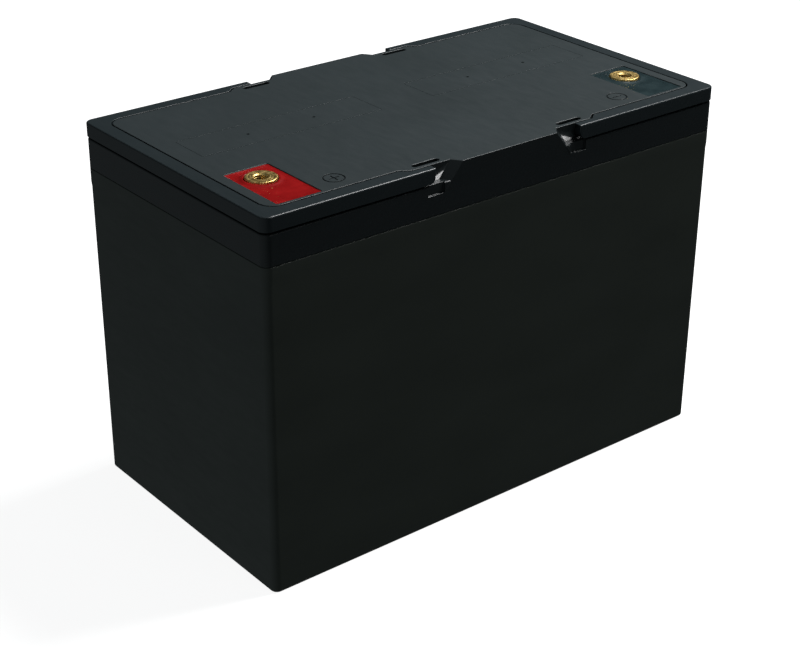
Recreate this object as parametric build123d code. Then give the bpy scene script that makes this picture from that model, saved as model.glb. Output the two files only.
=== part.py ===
from build123d import *
import os
from math import cos, pi, sin

os.makedirs("parts", exist_ok=True)

# Sealed 12 V battery pack: a six-cell jar with a lid bonded on it, two folding
# carrying handles that lie flush round the lid's ends, two vent covers over the
# safety valves, and two brass terminals potted in resin.
# Millimetres. +Z is up, +X runs along the long side, the origin is the middle of
# the base. The terminals are on the -Y side: positive at -X, negative at +X.

# Overall sizes
length = 307.0
width = 167.0
height = 211.0

# Folding handles
handle_width = 8.5
handle_depth = 8.0
handle_corner = 5.0
handle_wall = 2.2
handle_floor = 2.6
handle_rib = 1.6
handle_rib_pitch = 17.0
arm_end_width = 4.6
arm_narrow_start = 13.4
arm_narrow_end = 8.4
heel = 4.2
handle_edge = 0.9
handle_inner_edge = 0.3
pivot_x = 53.6
pin_radius = 2.0
pin_reach = 5.5
pin_root = 1.0
pin_clearance = 0.15
handle_gap = 0.8
handle_seat_gap = 1.0

# Lid
lid_inset = 0.3
lid_edge = 0.8
lid_wall = 3.0
roof = 3.0
skirt_height = 16.7
panel_corner = 8.0
arm_gap = 0.7
pocket = 17.4
bridge_bevel = 4.0
bridge_spread = 11.5
bridge_trim = 1.5
relief_height = 5.5
relief_depth = 1.2
relief_past = 0.5
slot_length = 17.0
slot_width = 3.2
slot_offset = 4.6
slot_y_inset = 9.25
slot_below_pin = 6.5
box_wall = 2.0
overlap = 1.0
line_gap = 0.3

# Jar
floor = 3.5
wall = 4.0
partition = 2.0
partition_foot = 2.4
rim_height = 10.4
rim_step = 0.4
rim_taper = 3.0
base_step = 0.6
base_edge = 0.8
jar_corner = 4.0
cell_corner = 1.0
tongue_inset = 2.55
tongue_height = 5.0

# Bond between lid and jar
bond = 0.5
bond_top = 1.0
lip = 1.5
channel_roof = 2.0
rib = 2.0

# Vent covers, gas gallery and safety valves
cover_margin = 2.07
cover_width = 26.4
cover_thickness = 2.0
cover_corner = 1.5
cover_clearance = 0.2
cover_y = 13.4
cover_shelf = 1.5
gas_hole_radius = 0.9
gas_hole_offset = 21.1
gallery_depth = 13.0
gallery_base = 2.0
neck_radius = 3.8
neck_bore = 2.2
neck_height = 6.5
cap_radius = 5.2
cap_roof = 2.8
cap_clearance = 0.15
cap_skirt_gap = 1.0
cap_bevel = 0.6
cap_lift = 0.5
cap_pad_radius = 3.5

# Terminals
terminal_inset = 33.8
flange_radius = 8.5
flange_height = 3.5
flange_stand = 0.7
flange_teeth = 36
tooth_depth = 0.35
collar_radius = 7.4
shank_radius = 5.0
shank_depth = 16.0
thread_radius = 3.32
thread_depth = 16.0
mouth_bevel = 0.7
well_length = 45.8
well_inner = 13.5
well_end = 6.37
well_depth = 6.0
well_corner = 1.0
well_edge = 1.9
well_boss = 8.0
resin_drop = 0.6
resin_ring = 3.0
post_radius = 8.0
post_clearance = 0.3
seal_ring_thickness = 2.3
seal_groove_height = 2.8
seal_ring_drop = 4.4

# Polarity marks engraved beside the terminals
mark_from_terminal = 27.8
mark_inset = 11.9
mark_radius = 5.8
mark_line = 0.8
mark_bar = 6.4
mark_depth = 0.4

# Plates, separators and lead work
cells = 6
positive_thickness = 3.2
negative_thickness = 2.2
separator_thickness = 1.0
stack_clearance = 0.3
plate_end_gap = 3.5
head_space = 34.5
plate_lift = 2.0
separator_margin = 2.0
lug_width = 12.0
lug_height = 8.0
strap_width = 18.0
strap_height = 7.0
strap_side_gap = 2.0
tombstone_thickness = 5.0
tombstone_height = 14.0
tombstone_gap = 0.1
weld_radius = 5.0

# Levels and half sizes that follow from the driving sizes
half_length = length / 2
half_width = width / 2
handle_bottom = height - handle_depth
ledge = handle_bottom - handle_seat_gap
lid_bottom = ledge - skirt_height
shoulder = lid_bottom - line_gap
wall_top = shoulder - rim_height
jar_top = shoulder + tongue_height
band_x = half_length - lid_inset
band_y = half_width - lid_inset
band_corner = handle_corner - lid_inset
wall_x = band_x - rim_step
wall_y = band_y - rim_step
base_x = wall_x - base_step
base_y = wall_y - base_step
panel_x = half_length - handle_width - handle_gap
panel_y = half_width - handle_width - handle_gap
arm_y = half_width - arm_end_width
block_y = arm_y - arm_gap
slot_x = pivot_x - slot_offset
slot_y = half_width - slot_y_inset
bridge_top = pivot_x - heel - pocket
relief_end = pivot_x + relief_past
pivot_z = height - handle_depth / 2
slot_floor = pivot_z - slot_below_pin
ledge_floor = ledge - lid_wall
roof_bottom = height - roof
channel_top = jar_top + bond_top
above_channel = channel_top + channel_roof
cell_x = (2 * (wall_x - wall) - (cells - 1) * partition) / cells
cell_y = 2 * (wall_y - wall)
cell_pitch = cell_x + partition
cell_base_x = cell_pitch - partition_foot
cell_base_y = 2 * (base_y - wall)
cover_x = cell_pitch * cells / 4
cover_length = 2 * (cell_pitch + cap_radius + cover_margin)
gallery_floor = height - gallery_depth
neck_top = gallery_floor + neck_height
cover_bottom = height - cover_thickness
terminal_x = (cells - 1) / 2 * cell_pitch
terminal_y = terminal_inset - panel_y
terminal_top = height + flange_stand
flange_bottom = terminal_top - flange_height
well_floor = height - well_depth
well_boss_floor = well_floor - well_boss
well_x0 = terminal_x - well_inner
well_x1 = panel_x - well_end
well_y = well_edge + well_length / 2 - panel_y
seal_ring_z = well_floor - seal_ring_drop
mark_x = terminal_x - mark_from_terminal
mark_y = mark_inset - panel_y
plate_bottom = floor + plate_lift
plate_top = jar_top - head_space
plate_width = cell_base_y - 2 * plate_end_gap
plate_pair = positive_thickness + negative_thickness + 2 * separator_thickness
stack_room = cell_base_x - negative_thickness - 2 * stack_clearance
positive_count = int(stack_room / plate_pair)
strap_y = -terminal_y
strap_bottom = plate_top + lug_height
strap_top = strap_bottom + strap_height
weld_z = strap_top + (tombstone_height - strap_height) / 2


def block(x0, x1, y0, y1, z0, z1):
    """A plain block between two corners."""
    size = (abs(x1 - x0), abs(y1 - y0), abs(z1 - z0))
    return Pos((x0 + x1) / 2, (y0 + y1) / 2, (z0 + z1) / 2) * Box(*size)


def rounded(half_x, half_y, corner, z0, z1, x=0.0, y=0.0):
    """An upright prism with rounded corners, centred at x, y."""
    outline = RectangleRounded(2 * half_x, 2 * half_y, corner)
    return Pos(x, y, z0) * extrude(outline, z1 - z0)


def rod(radius, z0, z1, x=0.0, y=0.0):
    """An upright cylinder between two levels."""
    return Pos(x, y, (z0 + z1) / 2) * Cylinder(radius, z1 - z0)


def tapered(levels):
    """A straight-sided shell through rounded rectangles (half x, half y, corner, z)."""
    sections = [Pos(0, 0, z) * RectangleRounded(2 * hx, 2 * hy, r) for hx, hy, r, z in levels]
    return loft(sections, ruled=True)


def both_sides(shape):
    """The shape and its mirror image across the XZ plane."""
    return shape + mirror(shape, Plane.XZ)


def four_corners(shape):
    """The shape mirrored to all four quadrants."""
    return both_sides(shape) + both_sides(mirror(shape, Plane.YZ))


def cell_centre(i):
    """X of the middle of cell i, counted from 0 at the positive end."""
    return (i - (cells - 1) / 2) * cell_pitch


def partition_centre(i):
    """X of the partition between cell i and the next."""
    return cell_centre(i) + cell_pitch / 2


def edges_at(shape, z, tolerance=0.01):
    """Edges that lie wholly at one level."""
    return shape.edges().filter_by(lambda e: abs(e.bounding_box().min.Z - z) < tolerance
                                   and abs(e.bounding_box().max.Z - z) < tolerance)


# ---------------------------------------------------------------- jar

def cell_space(i):
    """The tapered space of one cell."""
    lower = Pos(cell_centre(i), 0, floor) * RectangleRounded(cell_base_x, cell_base_y, cell_corner)
    upper = Pos(cell_centre(i), 0, jar_top) * RectangleRounded(cell_x, cell_y, cell_corner)
    return loft([lower, upper], ruled=True)


def weld_holes():
    """Round holes through the partitions, where neighbouring straps are welded."""
    holes = []
    for i in range(cells - 1):
        side = 1 if i % 2 == 0 else -1
        hole = Rot(0, 90, 0) * Cylinder(weld_radius, partition_foot)
        holes.append(Pos(partition_centre(i), side * strap_y, weld_z) * hole)
    return holes


def make_case():
    shell = tapered([
        (base_x - base_edge, base_y - base_edge, jar_corner - base_edge, 0),
        (base_x, base_y, jar_corner, base_edge),
        (wall_x, wall_y, jar_corner, wall_top),
        (band_x, band_y, band_corner, wall_top + rim_taper),
        (band_x, band_y, band_corner, shoulder),
    ])
    tongue_x = band_x - tongue_inset
    tongue_y = band_y - tongue_inset
    shell += rounded(tongue_x, tongue_y, band_corner - tongue_inset, shoulder, jar_top)
    for i in range(cells):
        shell -= cell_space(i)
    for hole in weld_holes():
        shell -= hole
    return shell


# ---------------------------------------------------------------- lid

def panel_outline():
    """Outline of the raised panel, with the blocks that carry the handle pivots."""
    outline = RectangleRounded(2 * panel_x, 2 * panel_y, panel_corner)
    start = pivot_x + arm_narrow_end - arm_gap
    end = pivot_x + arm_narrow_start - arm_gap
    corners = [(-end, panel_y), (-start, block_y), (start, block_y), (end, panel_y)]
    bulge = make_face(Polyline(*corners, (end, 0), (-end, 0), close=True))
    return outline + bulge + mirror(bulge, Plane.XZ)


def bridge():
    """The middle part of a long side: it fills the gap between the two handles' arms."""
    low = ledge - relief_height
    faces = []
    for y, bevel in ((block_y - overlap, bridge_bevel), (block_y, bridge_bevel), (half_width, 0)):
        top = bridge_top + bevel
        foot = top + bridge_spread
        outline = Polyline((-foot, y, low), (-top, y, height), (top, y, height),
                           (foot, y, low), close=True)
        faces.append(make_face(outline))
    return loft(faces, ruled=True)


def bridge_face_trim():
    """What a bridge's outer face loses so that it runs down flush into the skirt."""
    low = ledge - relief_height
    slope = Polyline((half_width, height), (half_width + overlap, height),
                     (half_width + overlap, low - bridge_trim), (band_y, low - bridge_trim),
                     (band_y, low), close=True)
    profile = Plane.YZ * make_face(slope)
    return Pos(-half_length / 2, 0, 0) * extrude(profile, half_length)


def relief():
    """Shallow hollow in the skirt under the end of a handle arm."""
    low = ledge - relief_height
    foot = bridge_top + bridge_spread
    return block(foot, relief_end, band_y - relief_depth, band_y + overlap, low, ledge)


def partition_ribs():
    """Ribs under the roof that divide the head space over each partition."""
    channel = partition / 2 + bond
    cheek = channel + lip
    y = band_y - tongue_inset
    top_y = panel_y - lid_wall / 2
    ribs = []
    for i in range(cells - 1):
        x = partition_centre(i)
        ribs.append(block(x - cheek, x + cheek, -y, y, lid_bottom + line_gap, above_channel))
        ribs.append(block(x - rib / 2, x + rib / 2, -y, y, channel_top, ledge_floor))
        ribs.append(block(x - rib / 2, x + rib / 2, -top_y, top_y, channel_top, roof_bottom))
    return ribs


def channel_space():
    """The channel in the lid that takes the top of the jar's walls and partitions."""
    outer_x = band_x - tongue_inset + bond
    outer_y = band_y - tongue_inset + bond
    inner_x = wall_x - wall - bond
    inner_y = wall_y - wall - bond
    outer = rounded(outer_x, outer_y, band_corner - tongue_inset + bond, lid_bottom, channel_top)
    inner = rounded(inner_x, inner_y, cell_corner, lid_bottom, channel_top)
    space = outer - inner
    half = partition / 2 + bond
    for i in range(cells - 1):
        x = partition_centre(i)
        space += block(x - half, x + half, -inner_y - overlap, inner_y + overlap,
                       lid_bottom, channel_top)
    return space


def slot_box():
    """Closed box under a slot, so that the slot doesn't open into the cells."""
    half = slot_length / 2 + box_wall
    return block(slot_x - half, slot_x + half, slot_y - slot_width / 2 - box_wall,
                 block_y, slot_floor - box_wall, height)


def slot_space():
    outline = SlotOverall(slot_length, slot_width)
    return Pos(slot_x, slot_y, slot_floor) * extrude(outline, height - slot_floor)


def pin_hole():
    depth = block_y + overlap - slot_y
    hole = Rot(90, 0, 0) * Cylinder(pin_radius + pin_clearance, depth)
    return Pos(pivot_x, slot_y + depth / 2, pivot_z) * hole


def gallery_box(side):
    half_x = cover_length / 2 + box_wall
    half_y = cover_width / 2 + box_wall
    bottom = gallery_floor - gallery_base
    return rounded(half_x, half_y, cover_corner + box_wall, bottom, height, side * cover_x, cover_y)


def gallery_space(side):
    """Seat of the cover with the gas gallery below it, round the valve necks."""
    x = side * cover_x
    seat = rounded(cover_length / 2, cover_width / 2, cover_corner, cover_bottom, height, x, cover_y)
    half_x = cover_length / 2 - cover_shelf
    half_y = cover_width / 2 - cover_shelf
    room = rounded(half_x, half_y, cover_corner, gallery_floor, cover_bottom, x, cover_y)
    for i in cells_of(side):
        room -= rod(neck_radius, gallery_floor, neck_top, cell_centre(i), cover_y)
    space = seat + room
    for i in cells_of(side):
        bottom = gallery_floor - gallery_base
        space += rod(neck_bore, bottom, neck_top, cell_centre(i), cover_y)
    return space


def cells_of(side):
    """The three cells under one cover: 0 to 2 on the left, 3 to 5 on the right."""
    return range(0, cells // 2) if side < 0 else range(cells // 2, cells)


def well_prism(side, top):
    """The space of a terminal's well from its floor up to some level."""
    x = side * (well_x0 + well_x1) / 2
    half_x = (well_x1 - well_x0) / 2
    return rounded(half_x, well_length / 2, well_corner, well_floor, top, x, well_y)


def well_box(side):
    """Walls and floor of a well, as far as the panel reaches."""
    back = well_y + well_length / 2 + box_wall
    walls = block(side * (well_x0 - box_wall), side * (well_x1 + box_wall), -panel_y, back,
                  well_boss_floor, height)
    return walls & Pos(0, 0, well_boss_floor) * extrude(panel_outline(), height - well_boss_floor)


def post_space(side):
    """Hole for the lead post through the bottom of a well, with its seal ring's groove."""
    x = side * terminal_x
    hole = rod(post_radius + post_clearance, well_boss_floor, well_floor, x, terminal_y)
    groove_radius = post_radius + seal_ring_thickness
    z = seal_ring_z
    half = seal_groove_height / 2
    return hole + rod(groove_radius, z - half, z + half, x, terminal_y)


def polarity_mark(side):
    """Ring with a plus or minus bar, cut into the lid."""
    ring = Circle(mark_radius) - Circle(mark_radius - mark_line)
    mark = ring + Rectangle(mark_bar, mark_line)
    if side < 0:
        mark += Rectangle(mark_line, mark_bar)
    return Pos(side * mark_x, mark_y, height - mark_depth) * extrude(mark, mark_depth)


def make_lid():
    band = rounded(band_x, band_y, band_corner, lid_bottom, ledge)
    band = fillet(edges_at(band, ledge), lid_edge)
    lid = band + Pos(0, 0, ledge_floor) * extrude(panel_outline(), height - ledge_floor)
    middle = bridge() - bridge_face_trim()
    lid += both_sides(middle)

    upper_x = band_x - lid_wall
    upper_y = band_y - lid_wall
    lid -= rounded(upper_x, upper_y, band_corner - lid_wall, above_channel, ledge_floor)
    inner_x = wall_x - wall - bond - lip
    inner_y = wall_y - wall - bond - lip
    lid -= rounded(inner_x, inner_y, cell_corner, lid_bottom, above_channel)
    lid -= rounded(panel_x - lid_wall, panel_y - lid_wall, panel_corner - lid_wall,
                   ledge_floor, roof_bottom)

    for piece in partition_ribs():
        lid += piece
    lid += four_corners(slot_box())
    for side in (-1, 1):
        lid += gallery_box(side)
        lid += well_box(side)

    lid -= channel_space()
    lid -= four_corners(relief())
    lid -= four_corners(slot_space())
    lid -= four_corners(pin_hole())
    for side in (-1, 1):
        lid -= gallery_space(side)
        lid -= well_prism(side, height)
        lid -= post_space(side)
        lid -= polarity_mark(side)
    return lid


def make_lid_seal(case):
    """Epoxy between the lid's channel and the tops of the jar's walls."""
    return channel_space() - case


# ---------------------------------------------------------------- handles

def handle_plan():
    """Outline of the left handle seen from above."""
    outer = RectangleRounded(length, width, handle_corner)
    inner_x = half_length - handle_width
    inner_y = half_width - handle_width
    inner = RectangleRounded(2 * inner_x, 2 * inner_y, panel_corner + handle_gap)
    ring = outer - inner
    start = pivot_x + arm_narrow_end
    end = pivot_x + arm_narrow_start
    corners = [(-end, inner_y), (-start, arm_y), (0, arm_y), (0, inner_y)]
    notch = make_face(Polyline(*corners, close=True))
    ring -= notch + mirror(notch, Plane.XZ)
    keep = pivot_x - heel
    ring -= Pos(half_length - keep, 0) * Rectangle(2 * half_length, 2 * width)
    return ring


def arm_end_cut():
    """What rounds the heel of both arms, seen along the pivot."""
    x = -pivot_x
    z = pivot_z
    half = handle_depth / 2
    corner = make_face(Polyline((x, z - half), (x + 2 * heel, z - half),
                                (x + 2 * heel, z), (x, z), close=True))
    corner -= Pos(x, z) * Circle(half)
    return extrude(Plane.XZ * corner, width, both=True)


def handle_hollow():
    """Moulding hollows in the underside, with ribs left between them."""
    hx = half_length - handle_wall
    hy = half_width - handle_wall
    core_corner = handle_corner - handle_wall
    top = height - handle_floor
    outer = rounded(hx, hy, core_corner, handle_bottom, top)
    inner_x = half_length - handle_width + handle_wall
    inner_y = half_width - handle_width + handle_wall
    inner = rounded(inner_x, inner_y, panel_corner + handle_gap + handle_wall, handle_bottom, top)
    hollow = outer - inner
    arm_stop = pivot_x + arm_narrow_start + handle_wall
    hollow -= block(-arm_stop, half_length, -half_width, half_width, handle_bottom, top)
    ribs_y = int(half_width // handle_rib_pitch)
    for i in range(-ribs_y, ribs_y + 1):
        y = i * handle_rib_pitch
        hollow -= block(-half_length, -half_length + handle_width, y - handle_rib / 2,
                        y + handle_rib / 2, handle_bottom, top)
    x = -arm_stop - handle_rib_pitch
    while x > -half_length + 1.5 * handle_rib_pitch:
        hollow -= block(x - handle_rib / 2, x + handle_rib / 2, -half_width, half_width,
                        handle_bottom, top)
        x -= handle_rib_pitch
    return hollow


def handle_pin():
    pin = Rot(90, 0, 0) * Cylinder(pin_radius, pin_reach + pin_root)
    return Pos(-pivot_x, arm_y + (pin_root - pin_reach) / 2, pivot_z) * pin


def is_near_outside(point):
    """Whether a point lies on the handles' outer outline, corners included."""
    x_gap = half_length - abs(point.X)
    y_gap = half_width - abs(point.Y)
    return min(x_gap, y_gap) < handle_corner / 3


def make_handle(side):
    handle = Pos(0, 0, handle_bottom) * extrude(handle_plan(), handle_depth)
    handle -= arm_end_cut()
    inner = edges_at(handle, height).filter_by(lambda e: not is_near_outside(e.center()))
    handle = fillet(inner, handle_inner_edge)
    outer = edges_at(handle, height).filter_by(lambda e: is_near_outside(e.center()))
    handle = fillet(outer, handle_edge)
    handle -= handle_hollow()
    handle += both_sides(handle_pin())
    return handle if side < 0 else mirror(handle, Plane.YZ)


# ---------------------------------------------------------------- covers and valves

def make_vent_cover(side):
    x = side * cover_x
    half_x = cover_length / 2 - cover_clearance
    half_y = cover_width / 2 - cover_clearance
    corner = cover_corner - cover_clearance
    cover = rounded(half_x, half_y, corner, cover_bottom, height, x, cover_y)
    for offset in (-gas_hole_offset, gas_hole_offset):
        cover -= rod(gas_hole_radius, cover_bottom, height, x + offset, cover_y)
    pad_bottom = neck_top + cap_roof + cap_lift
    for i in cells_of(side):
        cover += rod(cap_pad_radius, pad_bottom, cover_bottom, cell_centre(i), cover_y)
    return cover


def make_valve_cap(i):
    """Rubber cup that sits on a valve neck and lifts to let gas out."""
    x = cell_centre(i)
    cap = rod(cap_radius, gallery_floor + cap_skirt_gap, neck_top + cap_roof, x, cover_y)
    cap = chamfer(edges_at(cap, neck_top + cap_roof), cap_bevel)
    cap -= rod(neck_radius + cap_clearance, gallery_floor, neck_top, x, cover_y)
    return cap


# ---------------------------------------------------------------- terminals

def make_terminal_insert(side):
    """Threaded brass insert with a serrated flange, cast into the lead post."""
    x = side * terminal_x
    y = terminal_y
    flange = rod(flange_radius, flange_bottom, terminal_top, x, y)
    flange = chamfer(edges_at(flange, terminal_top), tooth_depth)
    tooth_radius = pi * flange_radius / flange_teeth / 2
    for n in range(flange_teeth):
        angle = 2 * pi * n / flange_teeth
        cut_radius = flange_radius + tooth_radius - tooth_depth
        tx = x + cut_radius * cos(angle)
        ty = y + cut_radius * sin(angle)
        flange -= rod(tooth_radius, flange_bottom, terminal_top, tx, ty)
    insert = flange + rod(collar_radius, well_floor, flange_bottom, x, y)
    insert += rod(shank_radius, well_floor - shank_depth, well_floor, x, y)
    insert -= rod(thread_radius, terminal_top - thread_depth, terminal_top, x, y)
    mouth = Cone(thread_radius, thread_radius + mouth_bevel, mouth_bevel)
    insert -= Pos(x, y, terminal_top - mouth_bevel / 2) * mouth
    return insert


def make_terminal_post(side):
    """Lead post that rises from the end cell's strap through the lid."""
    x = side * terminal_x
    post = rod(post_radius, strap_top, well_floor, x, terminal_y)
    return post - rod(shank_radius, well_floor - shank_depth, well_floor, x, terminal_y)


def make_seal_ring(side):
    ring_radius = post_radius + seal_ring_thickness / 2
    ring = Torus(ring_radius, seal_ring_thickness / 2)
    return Pos(side * terminal_x, terminal_y, seal_ring_z) * ring


def make_terminal_resin(side, insert):
    """Coloured resin that fills the well and rises a little round the insert."""
    x = side * terminal_x
    top = height - resin_drop
    resin = well_prism(side, top)
    rise = terminal_top - top - flange_stand / 2
    mound = Cone(flange_radius + resin_ring, flange_radius, rise)
    mound = Pos(x, terminal_y, top + rise / 2) * mound
    resin += mound & well_prism(side, terminal_top)
    resin -= rod(collar_radius, well_floor, terminal_top, x, terminal_y)
    return resin - insert


# ---------------------------------------------------------------- cell elements

def stack(i):
    """Thickness and middle of every plate in cell i, as (kind, x) pairs."""
    first = cell_centre(i) - positive_count * plate_pair / 2
    layers = []
    for n in range(positive_count + 1):
        x = first + n * plate_pair
        layers.append(("negative", x))
        if n < positive_count:
            gap = (negative_thickness + separator_thickness) / 2
            far = negative_thickness / 2 + 1.5 * separator_thickness + positive_thickness
            layers.append(("separator", x + gap))
            layers.append(("positive", x + plate_pair / 2))
            layers.append(("separator", x + far))
    return layers


def strap_side(i, kind):
    """+1 or -1: the long side on which this cell's strap of one polarity lies."""
    front_is_positive = i % 2 == 0
    if kind == "positive":
        return -1 if front_is_positive else 1
    return 1 if front_is_positive else -1


def make_plates(i, kind):
    thickness = positive_thickness if kind == "positive" else negative_thickness
    y = strap_side(i, kind) * strap_y
    plates = []
    for layer, x in stack(i):
        if layer != kind:
            continue
        half = thickness / 2
        plate = block(x - half, x + half, -plate_width / 2, plate_width / 2, plate_bottom, plate_top)
        plate += block(x - half, x + half, y - lug_width / 2, y + lug_width / 2,
                       plate_top, strap_bottom)
        plates.append(plate.solid())
    return Compound(children=plates)


def make_separators(i):
    half = separator_thickness / 2
    half_y = plate_width / 2 + separator_margin
    sheets = []
    for layer, x in stack(i):
        if layer == "separator":
            sheet = block(x - half, x + half, -half_y, half_y, floor, plate_top + separator_margin)
            sheets.append(sheet.solid())
    return Compound(children=sheets)


def make_strap(i, kind):
    """Lead strap over one polarity's lugs, with an upright tab at the partition it joins."""
    x = cell_centre(i)
    y = strap_side(i, kind) * strap_y
    half_x = cell_base_x / 2 - strap_side_gap
    strap = block(x - half_x, x + half_x, y - strap_width / 2, y + strap_width / 2,
                  strap_bottom, strap_top)
    toward = -1 if kind == "positive" else 1
    outer = 0 if kind == "positive" else cells - 1
    if i != outer:
        face = x + toward * (cell_base_x / 2 - tombstone_gap)
        tab = block(face, face - toward * tombstone_thickness, y - strap_width / 2,
                    y + strap_width / 2, strap_bottom, strap_bottom + tombstone_height)
        strap += tab
    return strap


def make_weld(i):
    """Lead that joins two cells through the hole in the partition between them."""
    side = 1 if i % 2 == 0 else -1
    bead = Rot(0, 90, 0) * Cylinder(weld_radius, partition_foot + 2 * tombstone_gap)
    return Pos(partition_centre(i), side * strap_y, weld_z) * bead


def build():
    """Every node of the battery by name."""
    nodes = {}
    nodes["case"] = make_case()
    nodes["lid"] = make_lid()
    nodes["lid_seal"] = make_lid_seal(nodes["case"])
    for side, hand in ((-1, "left"), (1, "right")):
        nodes["handle_" + hand] = make_handle(side)
        nodes["vent_cover_" + hand] = make_vent_cover(side)
    for side, sign in ((-1, "positive"), (1, "negative")):
        insert = make_terminal_insert(side)
        nodes["terminal_insert_" + sign] = insert
        nodes["terminal_post_" + sign] = make_terminal_post(side)
        nodes["terminal_seal_ring_" + sign] = make_seal_ring(side)
        nodes["terminal_resin_" + sign] = make_terminal_resin(side, insert)
    for i in range(cells):
        number = "_" + str(i + 1)
        nodes["valve_cap" + number] = make_valve_cap(i)
        nodes["positive_plates" + number] = make_plates(i, "positive")
        nodes["negative_plates" + number] = make_plates(i, "negative")
        nodes["separators" + number] = make_separators(i)
        nodes["positive_strap" + number] = make_strap(i, "positive")
        nodes["negative_strap" + number] = make_strap(i, "negative")
    for i in range(cells - 1):
        nodes["intercell_weld_" + str(i + 1)] = make_weld(i)
    return nodes


for name, shape in build().items():
    export_step(shape, "parts/" + name + ".step")
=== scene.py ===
import math

import bmesh
import bpy
from mathutils import Matrix, Vector, noise


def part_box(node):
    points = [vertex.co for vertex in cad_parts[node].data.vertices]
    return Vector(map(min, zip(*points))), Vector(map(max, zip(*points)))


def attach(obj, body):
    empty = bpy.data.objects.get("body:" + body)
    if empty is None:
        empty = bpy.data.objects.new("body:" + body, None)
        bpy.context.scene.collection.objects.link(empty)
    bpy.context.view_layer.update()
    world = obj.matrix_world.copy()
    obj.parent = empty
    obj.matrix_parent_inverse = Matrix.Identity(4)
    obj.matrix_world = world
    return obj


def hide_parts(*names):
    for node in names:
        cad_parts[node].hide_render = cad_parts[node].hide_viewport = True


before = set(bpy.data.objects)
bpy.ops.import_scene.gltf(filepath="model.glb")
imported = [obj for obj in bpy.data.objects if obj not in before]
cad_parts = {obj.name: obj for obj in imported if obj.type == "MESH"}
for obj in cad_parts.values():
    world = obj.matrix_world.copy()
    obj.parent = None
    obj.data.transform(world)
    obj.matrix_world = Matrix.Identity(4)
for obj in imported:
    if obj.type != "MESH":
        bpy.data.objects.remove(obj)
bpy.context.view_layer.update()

# Looks of the sealed battery pack. Lengths are in metres in the frame of the CAD model:
# the origin is the middle of the base, +Z is up, and the terminals are on the -Y side.
MM = 0.001

# ---------------------------------------------------------------- sizes read from the frame

case_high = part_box("case")[1]
lid_low, lid_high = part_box("lid")
handle_low, handle_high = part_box("handle_left")
insert_low, insert_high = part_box("terminal_insert_positive")
post_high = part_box("terminal_post_positive")[1]

TOP = lid_high.z
SKIRT_BOTTOM = lid_low.z
BAND_X = case_high.x
BAND_Y = case_high.y
TERMINAL_Y = (insert_low.y + insert_high.y) / 2
TERMINAL_X = -(insert_low.x + insert_high.x) / 2

# ---------------------------------------------------------------- small helpers


WELD_DISTANCE = 0.005 * MM
FLAT_ANGLE = math.radians(0.3)


def weld(bm):
    """Joins the doubled vertices of an imported mesh and merges its flat triangles."""
    bmesh.ops.remove_doubles(bm, verts=bm.verts[:], dist=WELD_DISTANCE)
    bmesh.ops.dissolve_limit(bm, angle_limit=FLAT_ANGLE, use_dissolve_boundaries=False,
                             verts=bm.verts[:], edges=bm.edges[:])


def add_piece(name, bm, body, material, replaces):
    """Makes an object of a bmesh, in the frame, riding on a body and standing for CAD nodes."""
    mesh = bpy.data.meshes.new(name)
    bm.to_mesh(mesh)
    bm.free()
    if "custom_normal" in mesh.attributes:
        mesh.attributes.remove(mesh.attributes["custom_normal"])
    for face in mesh.polygons:
        face.use_smooth = True
    mesh.materials.clear()
    mesh.materials.append(material)
    piece = bpy.data.objects.new(name, mesh)
    bpy.context.scene.collection.objects.link(piece)
    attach(piece, body)
    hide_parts(*replaces)
    return piece


SHARP = math.radians(35)
WIDEST = 1.0 * MM


def soften(bm, width_of):
    """Gives each sharp edge the width of its rounding, in metres, as a bevel weight."""
    weight = bm.edges.layers.float.new("bevel_weight_edge")
    for edge in bm.edges:
        if not edge.is_manifold or edge.calc_face_angle() < SHARP:
            continue
        width = width_of(edge)
        edge[weight] = width / WIDEST
        edge.smooth = width > 0


def round_edges(piece, segments):
    """Rounds the weighted edges of a piece when it is drawn."""
    bevel = piece.modifiers.new("rounded edges", "BEVEL")
    bevel.width = WIDEST
    bevel.segments = segments
    bevel.limit_method = "WEIGHT"
    bevel.use_clamp_overlap = False
    bevel.loop_slide = False
    normals = piece.modifiers.new("even shading", "WEIGHTED_NORMAL")
    normals.keep_sharp = True


def rounded_copy(node, name, body, material, width_of, segments=3):
    """A copy of a CAD node with its edges rounded, which stands for that node."""
    bm = bmesh.new()
    bm.from_mesh(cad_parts[node].data)
    weld(bm)
    soften(bm, width_of)
    piece = add_piece(name, bm, body, material, [node])
    round_edges(piece, segments)


def at_level(edge, z):
    """Whether an edge lies wholly at one height."""
    return all(abs(v.co.z - z) < 0.01 * MM for v in edge.verts)


def middle_of(edge):
    return (edge.verts[0].co + edge.verts[1].co) / 2


# ---------------------------------------------------------------- materials


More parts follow.
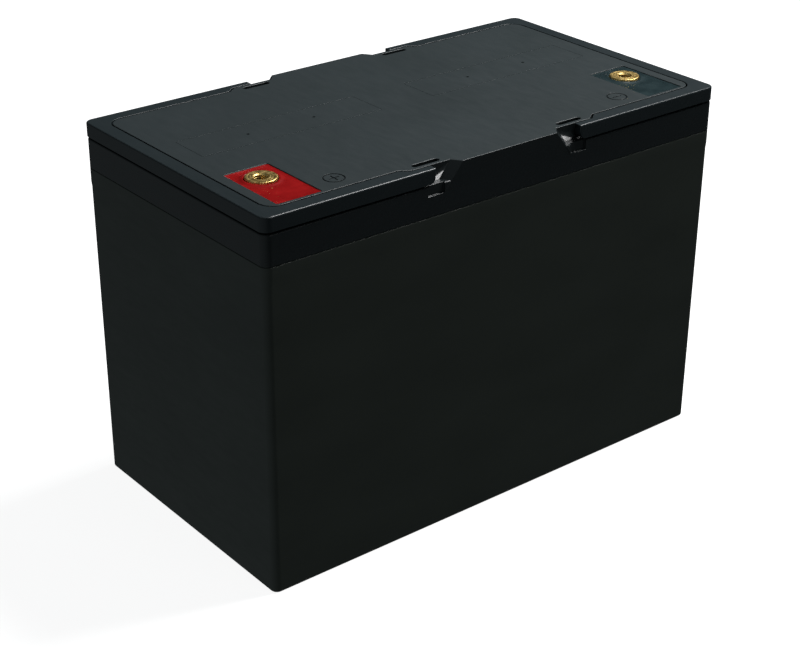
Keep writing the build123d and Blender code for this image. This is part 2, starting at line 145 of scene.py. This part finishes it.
class Nodes:
    """Small wrapper for building a node tree."""

    def __init__(self, name):
        self.material = bpy.data.materials.new(name)
        self.material.use_nodes = True
        self.tree = self.material.node_tree
        self.shader = self.tree.nodes["Principled BSDF"]

    def add(self, kind, **settings):
        node = self.tree.nodes.new(kind)
        for key, value in settings.items():
            if key in node.inputs:
                node.inputs[key].default_value = value
            else:
                setattr(node, key, value)
        return node

    def join(self, source, output, target, socket):
        self.tree.links.new(source.outputs[output], target.inputs[socket])

    def place(self, scale=(1, 1, 1)):
        """Coordinates on the object, in metres, stretched by scale."""
        coordinates = self.add("ShaderNodeTexCoord")
        mapping = self.add("ShaderNodeMapping")
        mapping.inputs["Scale"].default_value = scale
        self.join(coordinates, "Object", mapping, "Vector")
        return mapping

    def noise(self, scale, detail=3.0, roughness=0.5, stretch=(1, 1, 1)):
        texture = self.add("ShaderNodeTexNoise", Scale=scale, Detail=detail, Roughness=roughness)
        self.join(self.place(stretch), "Vector", texture, "Vector")
        return texture

    def ramp(self, source, output, low, high, dark, light):
        ramp = self.add("ShaderNodeValToRGB")
        ramp.color_ramp.elements[0].position = low
        ramp.color_ramp.elements[1].position = high
        ramp.color_ramp.elements[0].color = (*dark, 1)
        ramp.color_ramp.elements[1].color = (*light, 1)
        self.join(source, output, ramp, "Fac")
        return ramp

    def range(self, source, output, from_low, from_high, to_low, to_high):
        node = self.add("ShaderNodeMapRange")
        values = (from_low, from_high, to_low, to_high)
        for socket, value in zip(("From Min", "From Max", "To Min", "To Max"), values):
            node.inputs[socket].default_value = value
        self.join(source, output, node, "Value")
        return node

    def bump(self, source, output, height, below=None):
        """Relief of that height in metres, on top of another bump node."""
        node = self.add("ShaderNodeBump", Strength=1.0, Distance=height)
        self.join(source, output, node, "Height")
        if below:
            self.join(below, "Normal", node, "Normal")
        return node

    def finish(self, colour=None, roughness=None, relief=None):
        if colour:
            self.join(colour[0], colour[1], self.shader, "Base Color")
        if roughness:
            self.join(roughness, "Result", self.shader, "Roughness")
        if relief:
            self.join(relief, "Normal", self.shader, "Normal")
        return self.material


def moulded_plastic(name, dark, light, face_roughness, edge_roughness, grain_size, grain_height,
                    side_shade=1.0):
    """Black moulded plastic: grained flat tops, smoother edges and side faces, faint flow marks,
    and painted shade that darkens the faces below the top.
    """
    n = Nodes(name)
    n.shader.inputs["Specular IOR Level"].default_value = 0.35
    flow = n.noise(14, detail=4, stretch=(1, 1, 2.2))
    colour = n.ramp(flow, "Fac", 0.3, 0.7, dark, light)
    # Painted shade: faces below the top take the colour times the side shade factor, darker than
    # the lit top.
    shaded_sides = n.add("ShaderNodeMix", data_type="RGBA", blend_type="MULTIPLY")
    n.join(colour, "Color", shaded_sides, "A")
    shaded_sides.inputs["B"].default_value = (side_shade, side_shade, side_shade, 1)
    scuffs = n.noise(260, detail=6, roughness=0.62, stretch=(1, 0.25, 1))
    wear = n.range(scuffs, "Fac", 0.3, 0.7, -0.04, 0.05)
    place = n.add("ShaderNodeTexCoord")
    split = n.add("ShaderNodeSeparateXYZ")
    n.join(place, "Object", split, "Vector")
    face = n.range(split, "Z", TOP - 0.25 * MM, TOP - 0.08 * MM, edge_roughness, face_roughness)
    # Mask of the faces below the top, which take the painted shade.
    below = n.range(split, "Z", TOP - 0.25 * MM, TOP - 0.08 * MM, 1.0, 0.0)
    n.join(below, "Result", shaded_sides, "Factor")
    gloss = n.add("ShaderNodeMath", operation="ADD")
    n.join(face, "Result", gloss, 0)
    n.join(wear, "Result", gloss, 1)
    grain = n.noise(1 / grain_size, detail=2, roughness=0.6)
    fine = n.bump(grain, "Fac", grain_height)
    ripple = n.noise(45, detail=0)
    relief = n.bump(ripple, "Fac", 0.03 * MM, fine)
    n.join(gloss, "Value", n.shader, "Roughness")
    return n.finish((shaded_sides, "Result"), None, relief)


def cast_resin(name, dark, light, roughness):
    """Poured resin: glossy, a little cloudy, with a slow ripple."""
    n = Nodes(name)
    n.shader.inputs["Coat Weight"].default_value = 0.15
    n.shader.inputs["Coat Roughness"].default_value = 0.12
    cloud = n.noise(120, detail=3)
    colour = n.ramp(cloud, "Fac", 0.35, 0.7, dark, light)
    gloss = n.range(cloud, "Fac", 0.3, 0.7, roughness - 0.04, roughness + 0.05)
    ripple = n.noise(70, detail=1)
    specks = n.noise(900, detail=2)
    relief = n.bump(specks, "Fac", 0.01 * MM, n.bump(ripple, "Fac", 0.12 * MM))
    return n.finish((colour, "Color"), gloss, relief)


def turned_brass(name):
    """Turned brass with fine tool rings round each terminal's own axis."""
    n = Nodes(name)
    n.shader.inputs["Metallic"].default_value = 1.0
    coordinates = n.add("ShaderNodeTexCoord")
    split = n.add("ShaderNodeSeparateXYZ")
    n.join(coordinates, "Object", split, "Vector")
    side = n.add("ShaderNodeMath", operation="ABSOLUTE")
    n.join(split, "X", side, 0)
    from_x = n.add("ShaderNodeMath", operation="SUBTRACT")
    n.join(side, "Value", from_x, 0)
    from_x.inputs[1].default_value = TERMINAL_X
    from_y = n.add("ShaderNodeMath", operation="SUBTRACT")
    n.join(split, "Y", from_y, 0)
    from_y.inputs[1].default_value = TERMINAL_Y
    flat = n.add("ShaderNodeCombineXYZ")
    n.join(from_x, "Value", flat, "X")
    n.join(from_y, "Value", flat, "Y")
    rings = n.add("ShaderNodeTexWave", wave_type="RINGS", rings_direction="SPHERICAL")
    rings.inputs["Scale"].default_value = 900
    rings.inputs["Distortion"].default_value = 1.5
    rings.inputs["Detail"].default_value = 2
    n.join(flat, "Vector", rings, "Vector")
    tarnish = n.noise(420, detail=4)
    colour = n.ramp(tarnish, "Fac", 0.3, 0.75, (0.50, 0.33, 0.10), (0.83, 0.62, 0.26))
    gloss = n.range(tarnish, "Fac", 0.3, 0.7, 0.36, 0.50)
    relief = n.bump(rings, "Fac", 0.012 * MM)
    return n.finish((colour, "Color"), gloss, relief)


def cast_lead(name):
    """Dull cast lead, bluish grey, with a crystalline bloom."""
    n = Nodes(name)
    n.shader.inputs["Metallic"].default_value = 0.85
    bloom = n.noise(350, detail=5, roughness=0.65)
    colour = n.ramp(bloom, "Fac", 0.3, 0.7, (0.13, 0.135, 0.145), (0.30, 0.31, 0.33))
    gloss = n.range(bloom, "Fac", 0.3, 0.7, 0.42, 0.62)
    grain = n.noise(1600, detail=3)
    return n.finish((colour, "Color"), gloss, n.bump(grain, "Fac", 0.03 * MM))


def pasted_plate(name, dark, light):
    """Dried active mass pressed into a grid: matt, with the grid's squares showing through."""
    n = Nodes(name)
    paste = n.noise(700, detail=6, roughness=0.7)
    colour = n.ramp(paste, "Fac", 0.3, 0.7, dark, light)
    gloss = n.range(paste, "Fac", 0.3, 0.7, 0.78, 0.92)
    grid = n.add("ShaderNodeTexBrick", Scale=1.0)
    for socket, value in (("Brick Width", 9 * MM), ("Row Height", 6 * MM),
                          ("Mortar Size", 0.7 * MM), ("Mortar Smooth", 0.6)):
        grid.inputs[socket].default_value = value
    coordinates = n.add("ShaderNodeTexCoord")
    turned = n.add("ShaderNodeMapping")
    turned.inputs["Rotation"].default_value = (0, math.radians(90), 0)
    n.join(coordinates, "Object", turned, "Vector")
    n.join(turned, "Vector", grid, "Vector")
    relief = n.bump(paste, "Fac", 0.08 * MM, n.bump(grid, "Fac", 0.15 * MM))
    return n.finish((colour, "Color"), gloss, relief)


def glass_mat(name):
    """White mat of fine glass fibres."""
    n = Nodes(name)
    n.shader.inputs["Sheen Weight"].default_value = 0.3
    fibres = n.noise(2500, detail=5, roughness=0.8, stretch=(1, 0.08, 1))
    colour = n.ramp(fibres, "Fac", 0.3, 0.7, (0.62, 0.62, 0.60), (0.88, 0.88, 0.86))
    gloss = n.range(fibres, "Fac", 0.3, 0.7, 0.85, 0.97)
    return n.finish((colour, "Color"), gloss, n.bump(fibres, "Fac", 0.08 * MM))


def soft_rubber(name, dark, light):
    """Matt moulded rubber with a dusty bloom."""
    n = Nodes(name)
    bloom = n.noise(600, detail=5, roughness=0.6)
    colour = n.ramp(bloom, "Fac", 0.35, 0.75, dark, light)
    gloss = n.range(bloom, "Fac", 0.3, 0.7, 0.6, 0.8)
    grain = n.noise(3000, detail=2)
    return n.finish((colour, "Color"), gloss, n.bump(grain, "Fac", 0.02 * MM))


CASE_PLASTIC = moulded_plastic("case plastic", (0.030, 0.036, 0.030), (0.037, 0.044, 0.037),
                               0.42, 0.42, 0.42 * MM, 0.003 * MM)
# The lid's and handle's side faces are darkened with painted shade below the top.
LID_PLASTIC = moulded_plastic("lid plastic", (0.026, 0.034, 0.036), (0.032, 0.041, 0.044),
                              0.42, 0.26, 0.36 * MM, 0.015 * MM, side_shade=0.45)
HANDLE_PLASTIC = moulded_plastic("handle plastic", (0.016, 0.023, 0.026),
                                 (0.021, 0.029, 0.032), 0.36, 0.26, 0.36 * MM, 0.010 * MM,
                                 side_shade=0.8)
COVER_PLASTIC = moulded_plastic("cover plastic", (0.026, 0.034, 0.036), (0.033, 0.042, 0.045),
                                0.42, 0.26, 0.36 * MM, 0.015 * MM)
RED_RESIN = cast_resin("red resin", (0.26, 0.0012, 0.0014), (0.36, 0.0020, 0.0024), 0.30)
BLACK_RESIN = cast_resin("black resin", (0.012, 0.024, 0.027), (0.019, 0.036, 0.040), 0.26)
BOND_EPOXY = cast_resin("bond epoxy", (0.010, 0.010, 0.010), (0.018, 0.018, 0.017), 0.35)
BRASS = turned_brass("brass")
LEAD = cast_lead("lead")
POSITIVE_MASS = pasted_plate("positive mass", (0.045, 0.022, 0.014), (0.085, 0.045, 0.030))
NEGATIVE_MASS = pasted_plate("negative mass", (0.14, 0.145, 0.15), (0.24, 0.245, 0.25))
GLASS_MAT = glass_mat("glass mat")
VALVE_RUBBER = soft_rubber("valve rubber", (0.016, 0.016, 0.017), (0.035, 0.035, 0.037))
SEAL_RUBBER = soft_rubber("seal rubber", (0.014, 0.014, 0.014), (0.028, 0.028, 0.028))

def dress_cad_nodes():
    """Gives every CAD node a material by the start of its name; those that are replaced are hidden
    later.
    """
    by_start = {
        "case": CASE_PLASTIC, "lid_seal": BOND_EPOXY, "lid": LID_PLASTIC,
        "handle": HANDLE_PLASTIC, "vent_cover": COVER_PLASTIC, "valve_cap": VALVE_RUBBER,
        "terminal_insert": BRASS, "terminal_post": LEAD, "terminal_seal_ring": SEAL_RUBBER,
        "terminal_resin_positive": RED_RESIN, "terminal_resin_negative": BLACK_RESIN,
        "positive_plates": POSITIVE_MASS, "negative_plates": NEGATIVE_MASS,
        "separators": GLASS_MAT, "positive_strap": LEAD, "negative_strap": LEAD,
        "intercell_weld": LEAD,
    }
    for name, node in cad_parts.items():
        starts = [start for start in by_start if name.startswith(start)]
        material = by_start[max(starts, key=len)]
        node.data.materials.clear()
        node.data.materials.append(material)


# ---------------------------------------------------------------- lid

OUTLINE_ROUNDING = 0.35 * MM
SLOT_ROUNDING = 0.4 * MM
SEAT_ROUNDING = 0.04 * MM
WELL_ROUNDING = 0.35 * MM
MARK_ROUNDING = 0.12 * MM
SKIRT_ROUNDING = 0.25 * MM
POCKET_ROUNDING = 0.2 * MM
NEIGHBOUR_GAP = 0.6 * MM
SEAT_GAP = 1.0 * MM

# Where the lid's features lie, as distances from its middle or from its outside
PANEL_END_BAND = 11 * MM
PANEL_SIDE_BAND = 13 * MM
SLOT_REACH_X = 60 * MM
SLOT_NEAR_Y = 72 * MM
SLOT_FAR_Y = 76.5 * MM
POCKET_REACH_X = 50 * MM
POCKET_NEAR_Y = 78 * MM
RELIEF_DEPTH = 1.5 * MM
SKIRT_FOOT = 5 * MM
ON_SURFACE = 0.2 * MM


def inside(point, box, margin):
    low, high = box
    return (low.x - margin < point.x < high.x + margin
            and low.y - margin < point.y < high.y + margin)


def lid_top_width(middle):
    """Rounding of an edge at the lid's top, by the feature that it belongs to."""
    for hand in ("left", "right"):
        if inside(middle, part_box("vent_cover_" + hand), NEIGHBOUR_GAP):
            return SEAT_ROUNDING
    for sign in ("positive", "negative"):
        if inside(middle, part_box("terminal_resin_" + sign), NEIGHBOUR_GAP):
            return WELL_ROUNDING
    if abs(middle.y) < lid_high.y - PANEL_SIDE_BAND:
        on_end = abs(middle.x) > lid_high.x - PANEL_END_BAND
        return OUTLINE_ROUNDING if on_end else MARK_ROUNDING
    on_slot = abs(middle.x) < SLOT_REACH_X and SLOT_NEAR_Y < abs(middle.y) < SLOT_FAR_Y
    return SLOT_ROUNDING if on_slot else OUTLINE_ROUNDING


def lid_edge_width(edge):
    """How far each of the lid's edges is rounded."""
    middle = middle_of(edge)
    if at_level(edge, TOP):
        return lid_top_width(middle)
    ledge = handle_low.z - SEAT_GAP
    if middle.z > ledge - SEAT_GAP / 2 and abs(middle.y) > POCKET_NEAR_Y:
        return POCKET_ROUNDING if abs(middle.x) < POCKET_REACH_X else 0
    in_relief = abs(middle.y) > BAND_Y - RELIEF_DEPTH
    if in_relief and SKIRT_BOTTOM + SKIRT_FOOT < middle.z < ledge:
        return SKIRT_ROUNDING
    on_skirt = abs(middle.x) > BAND_X - ON_SURFACE or abs(middle.y) > BAND_Y - ON_SURFACE
    return SKIRT_ROUNDING if at_level(edge, SKIRT_BOTTOM) and on_skirt else 0


def make_lid():
    rounded_copy("lid", "lid_shell", "battery", LID_PLASTIC, lid_edge_width)


# ---------------------------------------------------------------- handles and covers


HANDLE_ROUNDING = 0.3 * MM
HANDLE_TOP_BAND = 2.0 * MM
COVER_ROUNDING = 0.04 * MM
CAP_ROUNDING = 0.25 * MM
VALVES = 6


def handle_edge_width(edge):
    """Rounds a handle's top and bottom edges, and leaves its hollows sharp."""
    near_top = middle_of(edge).z > handle_high.z - HANDLE_TOP_BAND
    return HANDLE_ROUNDING if near_top or at_level(edge, handle_low.z) else 0


def make_handles():
    for hand in ("left", "right"):
        node = "handle_" + hand
        rounded_copy(node, "carry_" + node, hand + "_handle", HANDLE_PLASTIC,
                     handle_edge_width)


def make_vent_covers():
    for hand in ("left", "right"):
        node = "vent_cover_" + hand
        rounded_copy(node, node + "_plate", hand + "_vent_cover", COVER_PLASTIC,
                     lambda edge: COVER_ROUNDING, segments=2)


def make_valve_caps():
    for i in range(1, VALVES + 1):
        node = "valve_cap_%d" % i
        rounded_copy(node, "rubber_" + node, "valve_%d" % i, VALVE_RUBBER,
                     lambda edge: CAP_ROUNDING)


# ---------------------------------------------------------------- case

CASE_ROUNDING = 0.35 * MM
CASE_SKIN = 4 * MM


def case_edge_width(edge):
    """Rounds the outside of the case: its foot, its rim's step and its shoulder."""
    middle = middle_of(edge)
    if middle.z > SKIRT_BOTTOM:
        return 0
    outside = abs(middle.x) > BAND_X - CASE_SKIN or abs(middle.y) > BAND_Y - CASE_SKIN
    level = abs(edge.verts[0].co.z - edge.verts[1].co.z) < 0.01 * MM
    return CASE_ROUNDING if outside and level else 0


def make_case():
    rounded_copy("case", "case_shell", "battery", CASE_PLASTIC, case_edge_width)


# ---------------------------------------------------------------- terminals

TEETH = 36
ROUND = 4 * TEETH
TOOTH = 0.35 * MM
FLANGE_RADIUS = (insert_high.x - insert_low.x) / 2
FLANGE_HEIGHT = 3.5 * MM
THREAD_MINOR = 3.32 * MM
THREAD_MAJOR = 3.90 * MM
THREAD_PITCH = 1.25 * MM
THREAD_STEPS = 8
THREAD_DEPTH = 15.0 * MM
WELL_CORNER = 1.0 * MM


def loops_to_mesh(bm, loops, close_end=True):
    """Skins closed loops of points into quads, capping both ends if wanted."""
    rings = [[bm.verts.new(point) for point in loop] for loop in loops]
    count = len(rings[0])
    for ring, following in zip(rings, rings[1:]):
        for k in range(count):
            after = (k + 1) % count
            bm.faces.new((ring[k], ring[after], following[after], following[k]))
    if close_end:
        bm.faces.new(rings[0])
        bm.faces.new(rings[-1])
    return rings


def circle_loop(centre, radius_of, z):
    """A loop round the centre at one height, its radius given for each direction."""
    loop = []
    for k in range(ROUND):
        angle = 2 * math.pi * k / ROUND
        radius = radius_of(angle)
        loop.append((centre[0] + radius * math.cos(angle), centre[1] + radius * math.sin(angle), z))
    return loop


def toothed(radius, depth):
    """Radius round the serrated rim: every tooth is a rounded ridge."""
    return lambda angle: radius - depth * (0.5 - 0.5 * math.cos(TEETH * angle)) ** 0.7


def plain(radius):
    return lambda angle: radius


def threaded(z):
    """Radius round a threaded bore at one height."""
    def radius_of(angle):
        phase = 2 * math.pi * z / THREAD_PITCH - angle
        return THREAD_MINOR + (THREAD_MAJOR - THREAD_MINOR) * (0.5 + 0.5 * math.cos(phase))
    return radius_of


def insert_loops(centre):
    """The insert's skin from the foot of its shank, over the flange, down the thread."""
    top = insert_high.z
    under = top - FLANGE_HEIGHT
    rim = FLANGE_RADIUS
    steps = [
        (plain(4.4 * MM), insert_low.z), (plain(5.0 * MM), insert_low.z + 0.6 * MM),
        (plain(5.0 * MM), post_high.z), (plain(7.3 * MM), post_high.z + 0.02 * MM),
        (plain(7.4 * MM), post_high.z + 0.15 * MM), (plain(7.4 * MM), under - 0.3 * MM),
        (plain(7.6 * MM), under), (toothed(rim - 0.25 * MM, TOOTH), under + 0.02 * MM),
        (toothed(rim, TOOTH), under + 0.25 * MM), (toothed(rim, TOOTH), top - 0.55 * MM),
        (toothed(rim - 0.10 * MM, 0.8 * TOOTH), top - 0.30 * MM),
        (toothed(rim - 0.35 * MM, 0.4 * TOOTH), top - 0.10 * MM),
        (plain(rim - 0.70 * MM), top - 0.02 * MM), (plain(rim - 1.0 * MM), top),
        (plain(6.62 * MM), top), (plain(6.50 * MM), top - 0.06 * MM),
        (plain(6.34 * MM), top - 0.06 * MM), (plain(6.22 * MM), top),
        (plain(5.10 * MM), top), (plain(5.0 * MM), top - 0.04 * MM),
        (plain(4.86 * MM), top - 0.04 * MM), (plain(4.76 * MM), top),
        (plain(4.20 * MM), top), (plain(4.05 * MM), top - 0.05 * MM),
        (plain(THREAD_MAJOR + 0.05 * MM), top - 0.20 * MM),
    ]
    loops = [circle_loop(centre, radius_of, z) for radius_of, z in steps]
    start = top - 0.45 * MM
    for step in range(int(THREAD_DEPTH / THREAD_PITCH * THREAD_STEPS) + 1):
        z = start - step * THREAD_PITCH / THREAD_STEPS
        loops.append(circle_loop(centre, threaded(z), z))
    loops.append(circle_loop(centre, plain(THREAD_MINOR), loops[-1][0][2] - 0.1 * MM))
    loops.append(circle_loop(centre, plain(0.3 * MM), loops[-1][0][2] - 1.0 * MM))
    return loops


def well_outline(low, high):
    """Points of the well's rounded outline, one for each direction from the insert."""
    centre = Vector(((low.x + high.x) / 2, (low.y + high.y) / 2))
    half = Vector(((high.x - low.x) / 2, (high.y - low.y) / 2))
    inner = half - Vector((WELL_CORNER, WELL_CORNER))
    points = []
    for k in range(ROUND):
        angle = 2 * math.pi * k / ROUND
        along = Vector((math.cos(angle), math.sin(angle)))
        reach = min(half[i] / max(abs(along[i]), 1e-6) for i in (0, 1))
        point = along * reach
        past = Vector((max(abs(point.x) - inner.x, 0), max(abs(point.y) - inner.y, 0)))
        if past.x > 0 and past.y > 0:
            past = past.normalized() * WELL_CORNER
            point.x = math.copysign(inner.x + past.x, point.x)
            point.y = math.copysign(inner.y + past.y, point.y)
        points.append(centre + point)
    return points


RESIN_RINGS = 30
RING_CROWDING = 1.25
FLANGE_CLEARANCE = 0.02 * MM
RESIN_DROP = 0.72 * MM
MOUND_HEIGHT = 0.75 * MM
MOUND_START = 0.7 * MM
MOUND_REACH = 1.5 * MM
GAP_FLOOR = 0.9 * MM
GAP_REACH = 0.35 * MM
FILM_HEIGHT = 0.32 * MM
FILM_REACH = 0.9 * MM
WAVE_HEIGHT = 0.07 * MM
WAVES_PER_METRE = 130


def resin_height(from_insert, from_wall, x, y):
    """Height of the resin's surface: mound at the insert, dish, and film up the walls."""
    past_start = max(from_insert - MOUND_START, 0)
    mound = MOUND_HEIGHT * math.exp(-(past_start / MOUND_REACH) ** 2)
    recess = -GAP_FLOOR * math.exp(-(from_insert / GAP_REACH) ** 2)
    film = FILM_HEIGHT * math.exp(-from_wall / FILM_REACH)
    wave = WAVE_HEIGHT * noise.noise(Vector((x, y, 0.3)) * WAVES_PER_METRE)
    return TOP - RESIN_DROP + mound + recess + film + wave


def resin_loops(low, high, centre):
    """The resin's skin from its foot at the well's wall, over its surface, to the collar."""
    outline = well_outline(low, high)
    bottom = [(point.x, point.y, low.z) for point in outline]
    loops = [bottom]
    inner = FLANGE_RADIUS + FLANGE_CLEARANCE
    for ring in range(RESIN_RINGS + 1):
        share = (ring / RESIN_RINGS) ** RING_CROWDING
        loop = []
        for point in outline:
            away = point - Vector(centre)
            start = Vector(centre) + away.normalized() * inner
            place = point.lerp(start, share)
            from_insert = (place - start).length
            z = resin_height(from_insert, (point - place).length, place.x, place.y)
            loop.append((place.x, place.y, z))
        loops.append(loop)
    foot = [(centre[0] + (p[0] - centre[0]) * 0.9, centre[1] + (p[1] - centre[1]) * 0.9, low.z)
            for p in loops[-1]]
    loops.append(foot)
    return loops


def add_skin(bm, name, material, node):
    """Makes a piece of the battery body of loops that are already skinned."""
    bmesh.ops.recalc_face_normals(bm, faces=bm.faces[:])
    piece = add_piece(name, bm, "battery", material, [node])
    piece.modifiers.new("even shading", "WEIGHTED_NORMAL")


def make_insert(node, centre):
    bm = bmesh.new()
    loops_to_mesh(bm, insert_loops(centre))
    add_skin(bm, "turned_" + node, BRASS, node)


def make_resin(node, centre, material):
    low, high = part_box(node)
    bm = bmesh.new()
    rings = loops_to_mesh(bm, resin_loops(low, high, centre), close_end=False)
    for k in range(ROUND):
        after = (k + 1) % ROUND
        bm.faces.new((rings[-1][k], rings[-1][after], rings[0][after], rings[0][k]))
    add_skin(bm, "poured_" + node, material, node)


def make_terminals():
    looks = {"positive": (RED_RESIN, "resin_red"), "negative": (BLACK_RESIN, "resin_black")}
    for sign, (material, slot) in looks.items():
        low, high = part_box("terminal_insert_" + sign)
        centre = ((low.x + high.x) / 2, (low.y + high.y) / 2)
        make_insert("terminal_insert_" + sign, centre)
        make_resin("terminal_resin_" + sign, centre, material)


# ---------------------------------------------------------------- camera, floor and light


def make_camera():
    camera = bpy.data.objects.new("camera", bpy.data.cameras.new("camera"))
    bpy.context.scene.collection.objects.link(camera)
    heading = Matrix.Rotation(math.radians(-38.751), 3, "Z")
    pitch = Matrix.Rotation(math.radians(64.058), 3, "X")
    roll = Matrix.Rotation(math.radians(0.3312), 3, "Z")
    camera.location = (-0.57304, -0.70581, 0.53396)
    camera.rotation_euler = (heading @ pitch @ roll).to_euler()
    camera.data.sensor_width = 36
    camera.data.lens = 79.380
    camera.data.shift_x = 0.0028
    camera.data.shift_y = -0.0425
    camera.data.clip_start = 0.01
    bpy.context.scene.camera = camera


def make_floor():
    bm = bmesh.new()
    bmesh.ops.create_circle(bm, cap_ends=True, segments=96, radius=6.0)
    mesh = bpy.data.meshes.new("floor")
    bm.to_mesh(mesh)
    bm.free()
    n = Nodes("pale floor")
    n.shader.inputs["Roughness"].default_value = 0.7
    n.shader.inputs["Specular IOR Level"].default_value = 0.2
    n.shader.inputs["Emission Color"].default_value = (1, 1, 1, 1)
    n.shader.inputs["Emission Strength"].default_value = 0.9
    paper = n.noise(30, detail=3)
    colour = n.ramp(paper, "Fac", 0.2, 0.8, (0.50, 0.50, 0.50), (0.53, 0.53, 0.53))
    mesh.materials.append(n.finish((colour, "Color")))
    floor = bpy.data.objects.new("floor", mesh)
    bpy.context.scene.collection.objects.link(floor)
    floor.visible_glossy = False
    floor.visible_diffuse = False


def make_light(name, direction, distance, size, power, colour=(1, 1, 1)):
    """Square soft light on that side of the object, facing its middle."""
    data = bpy.data.lights.new(name, "AREA")
    data.shape = "RECTANGLE"
    data.size, data.size_y = size
    data.energy = power
    data.color = colour
    lamp = bpy.data.objects.new(name, data)
    bpy.context.scene.collection.objects.link(lamp)
    target = Vector((0, 0, TOP / 2))
    lamp.location = target + Vector(direction).normalized() * distance
    lamp.rotation_euler = (target - lamp.location).to_track_quat("-Z", "Y").to_euler()


def make_world():
    """Dim studio, brighter to the left, overhead and below; the camera itself sees white."""
    world = bpy.data.worlds.new("studio")
    bpy.context.scene.world = world
    world.use_nodes = True
    tree = world.node_tree
    tree.nodes.clear()
    coordinates = tree.nodes.new("ShaderNodeTexCoord")
    split = tree.nodes.new("ShaderNodeSeparateXYZ")
    tree.links.new(coordinates.outputs["Generated"], split.inputs["Vector"])
    levels = []
    for axis, low, high, dim, bright in (("Z", 0.3, 1.0, 0.02, 0.10), ("X", -0.15, -1.0, 0.0, 0.17),
                                         ("Z", 0.0, -0.6, 0.0, 0.06)):
        level = tree.nodes.new("ShaderNodeMapRange")
        values = (low, high, dim, bright)
        for socket, value in zip(("From Min", "From Max", "To Min", "To Max"), values):
            level.inputs[socket].default_value = value
        tree.links.new(split.outputs[axis], level.inputs["Value"])
        levels.append(level)
    total = levels[0].outputs["Result"]
    for level in levels[1:]:
        sum_node = tree.nodes.new("ShaderNodeMath")
        tree.links.new(total, sum_node.inputs[0])
        tree.links.new(level.outputs["Result"], sum_node.inputs[1])
        total = sum_node.outputs["Value"]
    walls = tree.nodes.new("ShaderNodeBackground")
    walls.inputs["Color"].default_value = (0.85, 0.96, 1.0, 1)
    tree.links.new(total, walls.inputs["Strength"])
    white = tree.nodes.new("ShaderNodeBackground")
    white.inputs["Color"].default_value = (1, 1, 1, 1)
    seen = tree.nodes.new("ShaderNodeLightPath")
    mix = tree.nodes.new("ShaderNodeMixShader")
    tree.links.new(seen.outputs["Is Camera Ray"], mix.inputs[0])
    tree.links.new(walls.outputs["Background"], mix.inputs[1])
    tree.links.new(white.outputs["Background"], mix.inputs[2])
    output = tree.nodes.new("ShaderNodeOutputWorld")
    tree.links.new(mix.outputs["Shader"], output.inputs["Surface"])


def make_studio():
    make_floor()
    make_world()
    make_light("overhead", (0.50, -0.10, 0.86), 1.3, (0.5, 0.5), 20)
    make_light("front fill", (0.20, -0.95, 0.25), 1.6, (0.5, 0.5), 1.0)
    bpy.context.scene.view_settings.view_transform = "Standard"


# ---------------------------------------------------------------- everything

make_camera()
dress_cad_nodes()
make_lid()
make_handles()
make_vent_covers()
make_valve_caps()
make_case()
make_terminals()
make_studio()
